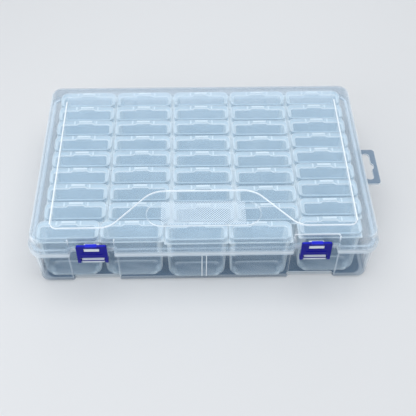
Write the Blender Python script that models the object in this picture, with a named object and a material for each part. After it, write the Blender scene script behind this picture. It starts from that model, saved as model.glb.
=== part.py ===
"""Compartment organizer box: a clear tub with a hinged lid, two side-hung latches and a hang tab,
holding forty-five small flip-top containers in nine rows of five.

Metres, +Z up. +X runs along the long side, -Y is the latch side and +Y the hinge side.
The origin is the middle of the tub's underside, on the surface that the box stands on.
"""

import math

import bmesh
import bpy
from mathutils import Matrix, Vector

# Driving sizes of the tub
TUB_WIDTH = 0.3504
TUB_DEPTH = 0.2308
TUB_HEIGHT = 0.0570
TUB_WALL = 0.0020
TUB_FLOOR = 0.0020
TUB_CORNER = 0.0100
TUB_EDGE = 0.0060
TUB_DRAFT = math.radians(2.0)

# Lid, drawn from the tub's rim
LID_SIDE_STAND = -0.0002
LID_FRONT_STAND = 0.0006
LID_RISE = 0.0170
LID_WALL = 0.0020
LID_TOP = 0.0018
LID_CORNER_GROW = 0.0020
LID_EDGE = 0.0020
SKIRT_FLARE = 0.0008
BAND_HEIGHT = 0.0068
BAND_PROUD = 0.0027
SEAT_GAP = 0.0003
SIDE_GAP = 0.0004

CORNER_STEPS = 4
TUB_EDGE_STEPS = 3
FLOOR_EDGE_STEPS = 2
ROUND_STEPS = 12
MERGE_DISTANCE = 0.000001
FLAT_ANGLE = math.radians(0.5)
SMOOTH_ANGLE = math.radians(35)
CUT_OVERRUN = 0.0050
WELD_OVERLAP = 0.0006

# Raised panel on the lid's top, with a bay at the front for the label pad
PANEL_RISE = 0.0012
PANEL_SIDE_MARGIN = 0.0195
PANEL_REAR_MARGIN = 0.0255
PANEL_FRONT_MARGIN = 0.0150
PANEL_CORNER = 0.0060
BAY_DEPTH_SHARE = 0.2112
BAY_INNER_SHARE = 0.1429
BAY_OUTER_SHARE = 0.2686
PAD_WIDTH_SHARE = 0.1700
PAD_DEPTH = 0.0300
PAD_SETBACK = 0.0055
PAD_RISE = 0.0008
PAD_STEPS = 6

# Latches and the pockets they lie in; heights are taken from the seat between tub and lid
LATCH_PLACE_SHARE = 0.3228
LATCH_WIDTH = 0.0308
LATCH_DROP = 0.0086
LATCH_HEAD = 0.0036
LATCH_SET = 0.0029
LATCH_THICK = 0.0024
LATCH_CORNER = 0.0016
THUMB_WIDTH = 0.0115
THUMB_RISE = 0.0013
THUMB_PROUD = 0.0010
THUMB_DROP = 0.0026
WINDOW_WIDTH = 0.0160
WINDOW_HEIGHT = 0.0052
WINDOW_LIFT = 0.0007
RIDGE_HALF = 0.0016
RIDGE_PROUD = 0.0007
RIDGE_LIFT = 0.0053
EAR_WIDTH = 0.0030
EAR_RADIUS = 0.0032
EAR_GAP = 0.0004
PIN_DROP = 0.0069
LATCH_PIN_RADIUS = 0.0012
LATCH_PIN_STEPS = 8
LATCH_CORNER_STEPS = 2
POCKET_ROOM = 0.0069
POCKET_WALL = 0.0014
LID_POCKET_DEPTH = 0.0044
TUB_POCKET_MARGIN = 0.0007
TUB_POCKET_DEPTH = 0.0030
TUB_POCKET_SLOPE = 0.0020
CATCH_GAP = 0.0004
CATCH_BACK = 0.0004
CATCH_RAMP = 0.0012
CLIP_SIDE_GAP = 0.0012
CLIP_GAP = 0.0003
CLIP_WALL = 0.0012
CLIP_KEPT_STEPS = 9

# Rear hinges
HINGE_PLACE_SHARE = 0.2568
HINGE_STAND = 0.0031
HINGE_DROP = 0.0005
HINGE_PIN_RADIUS = 0.0015
HINGE_GAP = 0.0003
HINGE_CLIP_WALL = 0.0013
HINGE_CLIP_WIDTH = 0.0180
HINGE_SIDE_GAP = 0.0005
LUG_WIDTH = 0.0030
LUG_WALL = 0.0011
LUG_FOOT = 0.0120

# Hang tab
TAB_REACH = 0.0220
TAB_LENGTH = 0.0534
TAB_THICK = 0.0023
TAB_PLACE = 0.0040
TAB_CORNER = 0.0040
TAB_GAP = 0.0007
TAB_STEPS = 3
SLOT_WIDTH = 0.0080
SLOT_MARGIN = 0.0070
SLOT_BUMP = 0.0046

# Containers
ROWS = 9
COLUMNS = 5
CAP_WIDTH_SHARE = 0.18476
CAP_DEPTH_SHARE = 0.10494
CAP_HEADROOM = 0.0037
CAP_HEIGHT = 0.0064
CAP_OVERHANG = 0.0004
CAP_SIDE_OVERHANG = 0.0013
CAP_EDGE = 0.0008
CAP_SLIT = 0.0004
CUP_WALL = 0.0010
CUP_FLOOR = 0.0012
CUP_CORNER = 0.0065
CUP_EDGE = 0.0030
CUP_TURN = 0.0090
CUP_DRAFT = math.radians(1.25)
CUP_STEPS = 3
CUP_TURN_STEPS = 3
STRAP_WIDTH = 0.0200
STRAP_THICK = 0.0005
STRAP_GRIP = 0.0014
STAND_GAP = 0.0003
ROW_END_GAP = 0.0009
# Where each row sits between the rear-most and the front-most place, column by column from the left:
# the containers stand loose, so the columns don't line up exactly
ROW_SHARES = (
    (0.0, 0.1207, 0.2414, 0.3657, 0.4919, 0.6177, 0.7389, 0.8677, 0.9965),
    (0.0, 0.1207, 0.2444, 0.3712, 0.4919, 0.6177, 0.7444, 0.8747, 1.0),
    (0.0, 0.1188, 0.2416, 0.3698, 0.4920, 0.6163, 0.7440, 0.8748, 1.0),
    (0.0, 0.1243, 0.2505, 0.3772, 0.5010, 0.6238, 0.7555, 0.8777, 1.0),
    (0.0, 0.1207, 0.2414, 0.3621, 0.4828, 0.6045, 0.7298, 0.8606, 0.9894))
# Middles of the columns, from the tub's left inner wall to its right one
COLUMN_SHARES = (0.1177, 0.3078, 0.5000, 0.6922, 0.8823)
FRONT_COLUMN_SHARES = (0.1024, 0.2880, 0.4778, 0.6642, 0.8725)

# Guide ribs for dividers, inside the front and rear walls
RIB_WIDTH = 0.0010
RIB_REACH = 0.0005
RIB_SPACING = 0.0046
RIB_HEIGHT_SHARE = 0.77
REAR_RIB_SHARES = (0.25, 0.50, 0.75)
FRONT_RIB_SHARES = (0.50,)


def tub_half(height, inset=0.0):
    """Half width and half depth of the tub's outside at a height, less an inset."""
    lean = (TUB_HEIGHT - height) * math.tan(TUB_DRAFT)
    return (TUB_WIDTH / 2 - lean - inset, TUB_DEPTH / 2 - lean - inset)


def lid_half(inset=0.0):
    """Half width and half depth of the lid's top outline, less an inset."""
    return (TUB_WIDTH / 2 + LID_SIDE_STAND - inset, TUB_DEPTH / 2 + LID_FRONT_STAND - inset)


def lid_seat():
    return TUB_HEIGHT + SEAT_GAP


def lid_top():
    return TUB_HEIGHT + LID_RISE


def band_bottom():
    return lid_seat() - BAND_HEIGHT


def band_half():
    return lid_half(-SKIRT_FLARE - BAND_PROUD)


def latch_place():
    return TUB_WIDTH * LATCH_PLACE_SHARE


def pocket_half():
    return LATCH_WIDTH / 2 + POCKET_ROOM


def window_bottom():
    return lid_seat() + WINDOW_LIFT


def latch_bottom():
    return lid_seat() - LATCH_DROP


def latch_top():
    return window_bottom() + WINDOW_HEIGHT + LATCH_HEAD


def latch_axis():
    """How far out and how high the latches' pins lie."""
    height = latch_bottom() - PIN_DROP
    return (tub_half(height)[1] - TUB_POCKET_DEPTH + EAR_RADIUS + EAR_GAP, height)


def latch_face():
    return latch_axis()[0] + LATCH_SET


def hinge_axis():
    return (band_half()[1] + HINGE_STAND, band_bottom() - HINGE_DROP)


def cap_size():
    inner_w, inner_d = tub_half(TUB_HEIGHT, TUB_WALL)
    return (2 * inner_w * CAP_WIDTH_SHARE, 2 * inner_d * CAP_DEPTH_SHARE)


def cup_height():
    """The cup's height, so that its cap ends a named headroom below the lid."""
    cap_base = lid_top() - LID_TOP - CAP_HEADROOM - CAP_HEIGHT
    return cap_base - CAP_SLIT - TUB_FLOOR - STAND_GAP


def rounded_points(half_w, half_d, radius, steps=CORNER_STEPS):
    """Corner arcs of a rounded rectangle, anticlockwise from the front-left corner, as (x, y)."""
    points = []
    corners = ((-1, -1, math.pi), (1, -1, 1.5 * math.pi), (1, 1, 0.0), (-1, 1, 0.5 * math.pi))
    for sx, sy, start in corners:
        cx = sx * (half_w - radius)
        cy = sy * (half_d - radius)
        for i in range(steps + 1):
            turn = start + 0.5 * math.pi * i / steps
            points.append((cx + radius * math.cos(turn), cy + radius * math.sin(turn)))
    return points


def pocketed_points(half_w, half_d, radius, grow=0.0):
    """A rounded rectangle whose front side steps back at the two latches."""
    outline = rounded_points(half_w, half_d, radius)
    corner = CORNER_STEPS + 1
    front = []
    reach = pocket_half() + TUB_POCKET_MARGIN + grow
    for place in (-latch_place(), latch_place()):
        front.append((place - reach - TUB_POCKET_SLOPE, -half_d))
        front.append((place - reach, -half_d + TUB_POCKET_DEPTH))
        front.append((place + reach, -half_d + TUB_POCKET_DEPTH))
        front.append((place + reach + TUB_POCKET_SLOPE, -half_d))
    return outline[:corner] + front + outline[corner:]


def loft(levels):
    """A closed body through outlines of equal length, each (points, height), capped at both ends."""
    bm = bmesh.new()
    rings = [[bm.verts.new((x, y, z)) for x, y in points] for points, z in levels]
    for low, high in zip(rings, rings[1:]):
        count = len(low)
        for i in range(count):
            j = (i + 1) % count
            bm.faces.new((low[i], low[j], high[j], high[i]))
    bm.faces.new(list(reversed(rings[0])))
    bm.faces.new(rings[-1])
    bmesh.ops.recalc_face_normals(bm, faces=bm.faces)
    return bm


def prism(points, start, end, axis="Z"):
    """A flat outline pushed along an axis; an X prism takes (y, z) points."""
    bm = loft([(points, start), (points, end)])
    if axis == "X":
        turn = Matrix(((0, 0, 1), (1, 0, 0), (0, 1, 0))).to_4x4()
        bmesh.ops.transform(bm, matrix=turn, verts=bm.verts)
    return bm


def box(x_range, y_range, z_range):
    (x0, x1), (y0, y1), (z0, z1) = x_range, y_range, z_range
    return prism([(x0, y0), (x1, y0), (x1, y1), (x0, y1)], z0, z1)


def span(middle, half):
    return (middle - half, middle + half)


def circle_points(cy, cz, radius, count):
    points = []
    for i in range(count):
        turn = 2 * math.pi * i / count
        points.append((cy + radius * math.cos(turn), cz + radius * math.sin(turn)))
    return points


def clip_points(cy, cz, inner, outer, start):
    """A C-shaped clip around a pin, as (y, z): three quarters of a ring, open over the last quarter."""
    turns = [start + 2 * math.pi * i / ROUND_STEPS for i in range(CLIP_KEPT_STEPS + 1)]
    outside = [(cy + outer * math.cos(a), cz + outer * math.sin(a)) for a in turns]
    inside = [(cy + inner * math.cos(a), cz + inner * math.sin(a)) for a in reversed(turns)]
    return outside + inside


def make_material(name, colour, roughness, transmission=0.0):
    material = bpy.data.materials.new(name)
    material.use_nodes = True
    shader = material.node_tree.nodes["Principled BSDF"]
    shader.inputs["Base Color"].default_value = (*colour, 1.0)
    shader.inputs["Roughness"].default_value = roughness
    shader.inputs["Metallic"].default_value = 0.0
    shader.inputs["Transmission Weight"].default_value = transmission
    return material


def add_object(name, bm, material=None, origin=(0.0, 0.0, 0.0)):
    """An object from a bmesh drawn in world places, with its origin moved to `origin`."""
    mesh = bpy.data.meshes.new(name)
    bmesh.ops.translate(bm, verts=bm.verts, vec=-Vector(origin))
    bm.to_mesh(mesh)
    bm.free()
    obj = bpy.data.objects.new(name, mesh)
    obj.location = origin
    bpy.context.scene.collection.objects.link(obj)
    if material:
        mesh.materials.append(material)
    return obj


def combine(obj, bm, operation):
    """Adds or cuts one solid, drawn in world places, and keeps the result as the object's mesh."""
    tool = add_object(obj.name + "_tool", bm)
    tool.hide_render = True
    tool.display_type = "WIRE"
    modifier = obj.modifiers.new("combine", "BOOLEAN")
    modifier.operation = operation
    modifier.solver = "EXACT"
    modifier.object = tool
    bpy.context.view_layer.update()
    shape = obj.evaluated_get(bpy.context.evaluated_depsgraph_get())
    mesh = bpy.data.meshes.new_from_object(shape)
    obj.modifiers.clear()
    old = obj.data
    obj.data = mesh
    mesh.name = obj.name
    bpy.data.meshes.remove(old)
    bpy.data.objects.remove(tool)


def settle(obj):
    """Merges doubled points, drops flat leftovers and shades the round stretches smooth."""
    bm = bmesh.new()
    bm.from_mesh(obj.data)
    bmesh.ops.remove_doubles(bm, verts=bm.verts, dist=MERGE_DISTANCE)
    bmesh.ops.dissolve_degenerate(bm, edges=bm.edges, dist=MERGE_DISTANCE)
    bmesh.ops.dissolve_limit(bm, angle_limit=FLAT_ANGLE, verts=bm.verts, edges=bm.edges)
    bmesh.ops.triangulate(bm, faces=bm.faces)
    bm.to_mesh(obj.data)
    bm.free()
    obj.data.shade_smooth()
    obj.data.set_sharp_from_angle(angle=SMOOTH_ANGLE)


def tub_outline(height, inset=0.0, grow=0.0):
    half_w, half_d = tub_half(height, inset)
    return (pocketed_points(half_w, half_d, TUB_CORNER - inset, grow), height)


def edge_levels(base, radius, inset, steps, grow=0.0):
    """Outlines that round the edge between a floor at `base` and the walls above it."""
    levels = []
    for i in range(steps + 1):
        turn = 0.5 * math.pi * i / steps
        height = base + radius * (1 - math.cos(turn))
        half_w, half_d = tub_half(height, inset + radius * (1 - math.sin(turn)))
        levels.append((pocketed_points(half_w, half_d, TUB_CORNER, grow), height))
    return levels


def add_tub(material):
    outside = edge_levels(0.0, TUB_EDGE, 0.0, TUB_EDGE_STEPS) + [tub_outline(TUB_HEIGHT)]
    inner_edge = TUB_EDGE - TUB_FLOOR
    inside = edge_levels(TUB_FLOOR, inner_edge, TUB_WALL, FLOOR_EDGE_STEPS, TUB_WALL / 2)
    inside.append(tub_outline(TUB_HEIGHT, TUB_WALL, TUB_WALL / 2))
    tub = add_object("tub", loft(outside + inside[::-1]), material)
    add_latch_clips(tub)
    add_hinge_lugs(tub)
    add_hang_tab(tub)
    add_guide_ribs(tub)
    settle(tub)
    return tub


def add_latch_clips(tub):
    """A C-shaped clip in each pocket, which the latch's pin snaps into from the front."""
    inner = LATCH_PIN_RADIUS + CLIP_GAP
    outer = inner + CLIP_WALL
    out, height = latch_axis()
    wall = tub_half(height)[1] - TUB_POCKET_DEPTH
    half = LATCH_WIDTH / 2 - EAR_WIDTH - CLIP_SIDE_GAP
    ring = clip_points(-out, height, inner, outer, -0.75 * math.pi)
    for place in (-latch_place(), latch_place()):
        combine(tub, prism(ring, place - half, place + half, "X"), "UNION")
        web = box(span(place, half), (-out + inner + CLIP_WALL / 2, -wall + TUB_WALL / 2),
                  span(height, inner))
        combine(tub, web, "UNION")


def add_hinge_lugs(tub):
    """Two lugs and a pin for each rear hinge."""
    out, height = hinge_axis()
    wall = tub_half(height - LUG_FOOT)[1] - TUB_WALL / 2
    reach = HINGE_CLIP_WIDTH / 2 + HINGE_SIDE_GAP + LUG_WIDTH
    nose_radius = HINGE_PIN_RADIUS + LUG_WALL
    pin = circle_points(out, height, HINGE_PIN_RADIUS, ROUND_STEPS)
    nose = circle_points(out, height, nose_radius, ROUND_STEPS)
    upper = height - HINGE_GAP
    lug = [(wall, height - LUG_FOOT), nose[10], nose[11]] + nose[:6]
    lug += [(out - nose_radius, upper), (wall, upper)]
    for place in (-TUB_WIDTH * HINGE_PLACE_SHARE, TUB_WIDTH * HINGE_PLACE_SHARE):
        for side in (-1, 1):
            ends = sorted((place + side * reach, place + side * (reach - LUG_WIDTH)))
            combine(tub, prism(lug, ends[0], ends[1], "X"), "UNION")
        pin_end = reach - LUG_WIDTH / 2
        combine(tub, prism(pin, place - pin_end, place + pin_end, "X"), "UNION")


def add_hang_tab(tub):
    """A flat tab on the right wall with a wide slot for a display peg."""
    top = band_bottom() - TAB_GAP
    wall = tub_half(top)[0]
    half = TAB_LENGTH / 2
    outline = [(x, y + TAB_PLACE) for x, y in rounded_points(TAB_REACH, half, TAB_CORNER, TAB_STEPS)]
    tab = [(wall - WELD_OVERLAP, TAB_PLACE - half)]
    tab += [(wall + x, y) for x, y in outline if x > 0]
    tab.append((wall - WELD_OVERLAP, TAB_PLACE + half))
    combine(tub, prism(tab, top - TAB_THICK, top), "UNION")
    middle = wall + TAB_REACH - SLOT_MARGIN - SLOT_WIDTH / 2
    ends = rounded_points(SLOT_WIDTH / 2, half - SLOT_MARGIN, SLOT_WIDTH / 2, TAB_STEPS)
    slot = [(middle + x, y + TAB_PLACE) for x, y in ends]
    cut = (top - TAB_THICK - CUT_OVERRUN, top + CUT_OVERRUN)
    combine(tub, prism(slot, *cut), "DIFFERENCE")
    bump = circle_points(middle + SLOT_WIDTH / 4, TAB_PLACE, SLOT_BUMP, ROUND_STEPS)
    combine(tub, prism(bump, *cut), "DIFFERENCE")


def add_guide_ribs(tub):
    """Pairs of upright ribs that guide a divider plate, inside the rear and front walls."""
    inner_w, _ = tub_half(TUB_HEIGHT, TUB_WALL)
    rib_top = TUB_HEIGHT * RIB_HEIGHT_SHARE
    for shares, side in ((REAR_RIB_SHARES, 1), (FRONT_RIB_SHARES, -1)):
        for share in shares:
            middle = inner_w * (2 * share - 1)
            for offset in (-RIB_SPACING / 2, RIB_SPACING / 2):
                low = tub_half(TUB_EDGE, TUB_WALL)[1]
                high = tub_half(rib_top, TUB_WALL)[1]
                profile = [(side * (low - RIB_REACH), TUB_EDGE), (side * (low + TUB_WALL / 2), TUB_EDGE),
                           (side * (high + TUB_WALL / 2), rib_top), (side * (high - RIB_REACH), rib_top)]
                start = middle + offset - RIB_WIDTH / 2
                combine(tub, prism(profile, start, start + RIB_WIDTH, "X"), "UNION")


def lid_level(inset, height, radius=None):
    half_w, half_d = lid_half(inset)
    radius = TUB_CORNER + LID_CORNER_GROW - inset if radius is None else radius
    return (rounded_points(half_w, half_d, radius), height)


def add_lid(material):
    top = lid_top()
    seat = lid_seat()
    band_out = -(SKIRT_FLARE + BAND_PROUD)
    outside = [lid_level(band_out, band_bottom()), lid_level(band_out, seat + SEAT_GAP),
               lid_level(-SKIRT_FLARE, seat + SEAT_GAP + BAND_PROUD / 2), lid_level(0.0, top - LID_EDGE),
               lid_level(LID_EDGE * (1 - math.sqrt(0.5)), top - LID_EDGE * (1 - math.sqrt(0.5))),
               lid_level(LID_EDGE, top)]
    fit = rounded_points(*tub_half(TUB_HEIGHT, -SIDE_GAP), TUB_CORNER + SIDE_GAP)
    inside = [(fit, band_bottom()), (fit, seat), lid_level(LID_WALL, seat),
              lid_level(LID_WALL, top - LID_TOP)]
    out, height = hinge_axis()
    lid = add_object("lid", loft(inside[::-1] + outside), material, (0.0, out, height))
    add_pockets(lid)
    raise_top(lid, panel_outline(), PANEL_RISE)
    raise_top(lid, pad_outline(), PAD_RISE)
    add_hinge_clips(lid)
    settle(lid)
    return lid


def add_pockets(lid):
    """Sets the lid's front wall back behind each latch and puts the catch on it."""
    top = lid_top()
    skirt = lid_half()[1]
    face = skirt - LID_POCKET_DEPTH
    for place in (-latch_place(), latch_place()):
        block = box(span(place, pocket_half() + POCKET_WALL), (-skirt + LID_WALL / 2, -face + POCKET_WALL),
                    (lid_seat(), top - LID_TOP / 2))
        combine(lid, block, "UNION")
        room = box(span(place, pocket_half()), (-band_half()[1] - CUT_OVERRUN, -face),
                   (band_bottom() - CUT_OVERRUN, top + CUT_OVERRUN))
        combine(lid, room, "DIFFERENCE")
        combine(lid, catch_shape(place, face), "UNION")


def catch_shape(place, face):
    """A ramped catch that stands through the latch's window."""
    low = window_bottom() + CATCH_GAP
    high = window_bottom() + WINDOW_HEIGHT - CATCH_GAP
    reach = latch_face() - CATCH_BACK
    profile = [(-face + POCKET_WALL / 2, low), (-face + POCKET_WALL / 2, high), (-reach + CATCH_RAMP, high),
               (-reach, high - CATCH_RAMP), (-reach, low)]
    half = WINDOW_WIDTH / 2 - CATCH_GAP
    return prism(profile, place - half, place + half, "X")


def panel_outline():
    """The raised panel's outline: a rectangle with a wide sloped bay at the front for the label pad."""
    half_w, half_d = lid_half()
    side = half_w - PANEL_SIDE_MARGIN
    rear = half_d - PANEL_REAR_MARGIN
    front = -half_d + PANEL_FRONT_MARGIN
    bay = front + 2 * half_d * BAY_DEPTH_SHARE
    inner = 2 * half_w * BAY_INNER_SHARE
    outer = 2 * half_w * BAY_OUTER_SHARE
    corner = PANEL_CORNER
    cut = corner * (1 - math.sqrt(0.5))
    outline = [(-side, rear), (-side, front + corner), (-side + cut, front + cut), (-side + corner, front),
               (-outer - corner, front), (-outer + corner / 4, front + corner / 3),
               (-inner - corner / 4, bay - corner / 3), (-inner + corner, bay)]
    return outline + [(-x, y) for x, y in reversed(outline)]


def pad_outline():
    """A stadium in the panel's bay, where a label would go."""
    half_w, half_d = lid_half()
    half = PAD_DEPTH / 2
    middle = -half_d + PANEL_FRONT_MARGIN + PAD_SETBACK + half
    ends = rounded_points(2 * half_w * PAD_WIDTH_SHARE, half, half, PAD_STEPS)
    return [(x, y + middle) for x, y in ends]


def raise_top(lid, outline, rise):
    """Raises an outline on the lid's top."""
    top = lid_top()
    combine(lid, prism(outline, top - LID_TOP / 2, top + rise), "UNION")


def add_hinge_clips(lid):
    """C-shaped clips on the rear band that turn on the tub's hinge pins."""
    inner = HINGE_PIN_RADIUS + HINGE_GAP
    outer = inner + HINGE_CLIP_WALL
    out, height = hinge_axis()
    half = HINGE_CLIP_WIDTH / 2
    ring = clip_points(out, height, inner, outer, -math.pi / 3)
    for place in (-TUB_WIDTH * HINGE_PLACE_SHARE, TUB_WIDTH * HINGE_PLACE_SHARE):
        combine(lid, prism(ring, place - half, place + half, "X"), "UNION")
        arm = box(span(place, half), (band_half()[1] - WELD_OVERLAP, out),
                  (height + inner + HINGE_CLIP_WALL / 2, height + outer + HINGE_CLIP_WALL))
        combine(lid, arm, "UNION")


def add_latch(name, place, material):
    face = -latch_face()
    low = latch_bottom()
    high = latch_top()
    out, height = latch_axis()
    corners = rounded_points(LATCH_WIDTH / 2, (high - low) / 2, LATCH_CORNER, LATCH_CORNER_STEPS)
    plate = [(place + x, z + (low + high) / 2) for x, z in corners]
    body = loft([(plate, 0.0), (plate, LATCH_THICK)])
    upright = Matrix(((1, 0, 0), (0, 0, 1), (0, 1, 0))).to_4x4()
    bmesh.ops.transform(body, matrix=upright, verts=body.verts)
    bmesh.ops.translate(body, verts=body.verts, vec=(0.0, face, 0.0))
    bmesh.ops.recalc_face_normals(body, faces=body.faces)
    latch = add_object(name, body, material, (place, -out, height))
    add_thumb_and_ridge(latch, place)
    add_ears(latch, place)
    window = box(span(place, WINDOW_WIDTH / 2), (face - CUT_OVERRUN, face + LATCH_THICK + CUT_OVERRUN),
                 (window_bottom(), window_bottom() + WINDOW_HEIGHT))
    combine(latch, window, "DIFFERENCE")
    settle(latch)
    return latch


def add_thumb_and_ridge(latch, place):
    face = -latch_face()
    back = face + LATCH_THICK
    top = latch_top() + THUMB_RISE
    thumb = [(back, top), (face - THUMB_PROUD, top), (face - THUMB_PROUD, top - THUMB_RISE),
             (face + LATCH_THICK / 2, top - THUMB_DROP - THUMB_RISE), (back, top - THUMB_DROP)]
    half = THUMB_WIDTH / 2
    combine(latch, prism(thumb, place - half, place + half, "X"), "UNION")
    middle = latch_bottom() + RIDGE_LIFT
    ridge = [(face + LATCH_THICK / 2, middle - RIDGE_HALF), (face - RIDGE_PROUD, middle),
             (face + LATCH_THICK / 2, middle + RIDGE_HALF)]
    half = LATCH_WIDTH / 2 - EAR_WIDTH - LATCH_CORNER
    combine(latch, prism(ridge, place - half, place + half, "X"), "UNION")


def add_ears(latch, place):
    """Two ears below the plate and the pin between them."""
    half = LATCH_WIDTH / 2
    out, height = latch_axis()
    face = -latch_face()
    disc = circle_points(-out, height, EAR_RADIUS, ROUND_STEPS)
    rise = latch_bottom() + LATCH_CORNER + EAR_WIDTH / 2
    ear = [(face, rise), disc[6]] + disc[7:] + disc[:4] + [(face + LATCH_THICK, rise)]
    for side in (-1, 1):
        ends = sorted((place + side * half, place + side * (half - EAR_WIDTH)))
        combine(latch, prism(ear, ends[0], ends[1], "X"), "UNION")
    pin = circle_points(-out, height, LATCH_PIN_RADIUS, LATCH_PIN_STEPS)
    pin_half = half - EAR_WIDTH / 2
    combine(latch, prism(pin, place - pin_half, place + pin_half, "X"), "UNION")


def cup_points(inset, side_inset=0.0):
    width, depth = cap_size()
    radius = CUP_CORNER - min(inset, CUP_WALL)
    half_w = width / 2 - CAP_SIDE_OVERHANG - inset - side_inset
    return rounded_points(half_w, depth / 2 - CAP_OVERHANG - inset, radius, CUP_STEPS)


def cap_points(inset=0.0):
    width, depth = cap_size()
    return rounded_points(width / 2 - inset, depth / 2 - inset, CUP_CORNER + CAP_OVERHANG - inset, CUP_STEPS)


def cup_turn_levels(base, wall):
    """The cup's lower end: a wide curve at both sides and a small edge at the front and the back."""
    side_turn = CUP_TURN - wall
    small_turn = CUP_EDGE - wall
    levels = []
    for i in range(CUP_TURN_STEPS + 1):
        turn = 0.5 * math.pi * i / CUP_TURN_STEPS
        rise = side_turn * (1 - math.cos(turn))
        below = max(small_turn - rise, 0.0)
        inset = small_turn - math.sqrt(small_turn ** 2 - below ** 2)
        lean = (cup_height() - base - rise) * math.tan(CUP_DRAFT) + wall
        levels.append((cup_points(lean + inset, side_turn * (1 - math.sin(turn)) - inset), base + rise))
    return levels


def add_container_shape(material):
    """One cup with its cap on, joined at the back by the strap it folds on; local origin under it."""
    tall = cup_height()
    outside = cup_turn_levels(0.0, 0.0) + [(cup_points(0.0), tall)]
    inside = cup_turn_levels(CUP_FLOOR, CUP_WALL) + [(cup_points(CUP_WALL), tall)]
    container = add_object("container_shape", loft(outside + inside[::-1]), material)
    base = tall + CAP_SLIT
    top = base + CAP_HEIGHT
    cap = [(cap_points(), base), (cap_points(), top - CAP_EDGE), (cap_points(CAP_EDGE), top)]
    combine(container, loft(cap), "UNION")
    rear = cap_size()[1] / 2
    strap = box(span(0.0, STRAP_WIDTH / 2), (rear - CAP_OVERHANG - STRAP_THICK, rear),
                (tall - STRAP_GRIP, base + STRAP_GRIP))
    combine(container, strap, "UNION")
    settle(container)
    return container


def meets_pocket(column):
    """Whether a column's front container stands behind one of the lid's pockets."""
    reach = abs(column_middle(FRONT_COLUMN_SHARES[column])) + cap_size()[0] / 2
    return reach > latch_place() - pocket_half() - POCKET_WALL - CAP_OVERHANG


def column_middle(share):
    return tub_half(TUB_HEIGHT, TUB_WALL)[0] * (2 * share - 1)


def container_place(row, column):
    """Middle of a container in the tub: rows count from the hinge side, columns from the left."""
    inner_d = tub_half(TUB_HEIGHT, TUB_WALL)[1]
    depth = cap_size()[1]
    rear = min(inner_d, lid_half(LID_WALL)[1]) - ROW_END_GAP - depth / 2
    if meets_pocket(column):
        wall = min(inner_d - TUB_POCKET_DEPTH, lid_half(LID_POCKET_DEPTH + POCKET_WALL)[1])
    else:
        wall = min(inner_d, lid_half(LID_WALL)[1])
    front = -wall + ROW_END_GAP + depth / 2
    column_share = (FRONT_COLUMN_SHARES if row == ROWS - 1 else COLUMN_SHARES)[column]
    return (column_middle(column_share), rear + (front - rear) * ROW_SHARES[column][row], TUB_FLOOR + STAND_GAP)


def add_containers(material):
    shape = add_container_shape(material)
    for row in range(ROWS):
        for column in range(COLUMNS):
            name = "container_r%d_c%d" % (row + 1, column + 1)
            container = bpy.data.objects.new(name, shape.data)
            container.location = container_place(row, column)
            bpy.context.scene.collection.objects.link(container)
    bpy.data.objects.remove(shape)


def main():
    for obj in list(bpy.data.objects):
        bpy.data.objects.remove(obj)
    clear = make_material("clear_polypropylene", (0.62, 0.74, 0.84), 0.22, 0.8)
    frosted = make_material("frosted_polypropylene", (0.70, 0.80, 0.88), 0.35, 0.6)
    blue = make_material("blue_polypropylene", (0.012, 0.006, 0.42), 0.30)
    add_tub(clear)
    add_lid(clear)
    add_latch("latch_left", -latch_place(), blue)
    add_latch("latch_right", latch_place(), blue)
    add_containers(frosted)


main()
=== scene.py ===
# %% [markdown]
# # Compartment organizer box
# A clear case of natural polypropylene holds forty-five small flip-top containers. This file loads the
# measured model of the box as a fixed frame and builds each moulding again on top of it, with the
# roundings, rims and hinges that such mouldings have.

import math

import bmesh
import bpy
from mathutils import Matrix, Vector


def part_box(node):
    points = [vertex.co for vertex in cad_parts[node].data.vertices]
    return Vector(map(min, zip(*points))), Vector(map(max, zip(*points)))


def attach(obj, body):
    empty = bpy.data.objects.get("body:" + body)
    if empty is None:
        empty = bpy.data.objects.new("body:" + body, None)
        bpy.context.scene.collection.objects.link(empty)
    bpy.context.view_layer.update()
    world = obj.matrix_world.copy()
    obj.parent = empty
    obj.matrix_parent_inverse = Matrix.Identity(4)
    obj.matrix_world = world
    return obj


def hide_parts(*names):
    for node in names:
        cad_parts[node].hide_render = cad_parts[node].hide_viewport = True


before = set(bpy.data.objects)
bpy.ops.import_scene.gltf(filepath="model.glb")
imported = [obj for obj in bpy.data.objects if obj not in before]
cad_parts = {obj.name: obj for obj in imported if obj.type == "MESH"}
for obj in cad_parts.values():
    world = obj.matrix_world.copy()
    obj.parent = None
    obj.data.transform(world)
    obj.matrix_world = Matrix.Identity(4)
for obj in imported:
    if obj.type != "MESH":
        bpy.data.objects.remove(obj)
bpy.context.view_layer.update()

# %% [markdown]
# ## Camera
# The view was solved from the straight edges of the lid and the tub: a lens of 65.8 mm on a 36 mm wide
# sensor, looking 49 degrees down and turned a little to the right. A matrix is the plainest way to hand
# such a solution to Blender, because its columns are the camera's own right, up and backward directions.

# %% Camera
PITCH, YAW, ROLL = math.radians(49.174), math.radians(1.8117), math.radians(0.6337)
EYE = Vector((-0.011686, -0.58545, 0.664491))
FOCAL_LENGTH, SENSOR_WIDTH = 65.81, 36.0
forward = Vector((math.sin(YAW) * math.cos(PITCH), math.cos(YAW) * math.cos(PITCH), -math.sin(PITCH)))
level = Vector((math.cos(YAW), -math.sin(YAW), 0.0))
upright = level.cross(forward)
right = level * math.cos(ROLL) + upright * math.sin(ROLL)
up = upright * math.cos(ROLL) - level * math.sin(ROLL)

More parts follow.
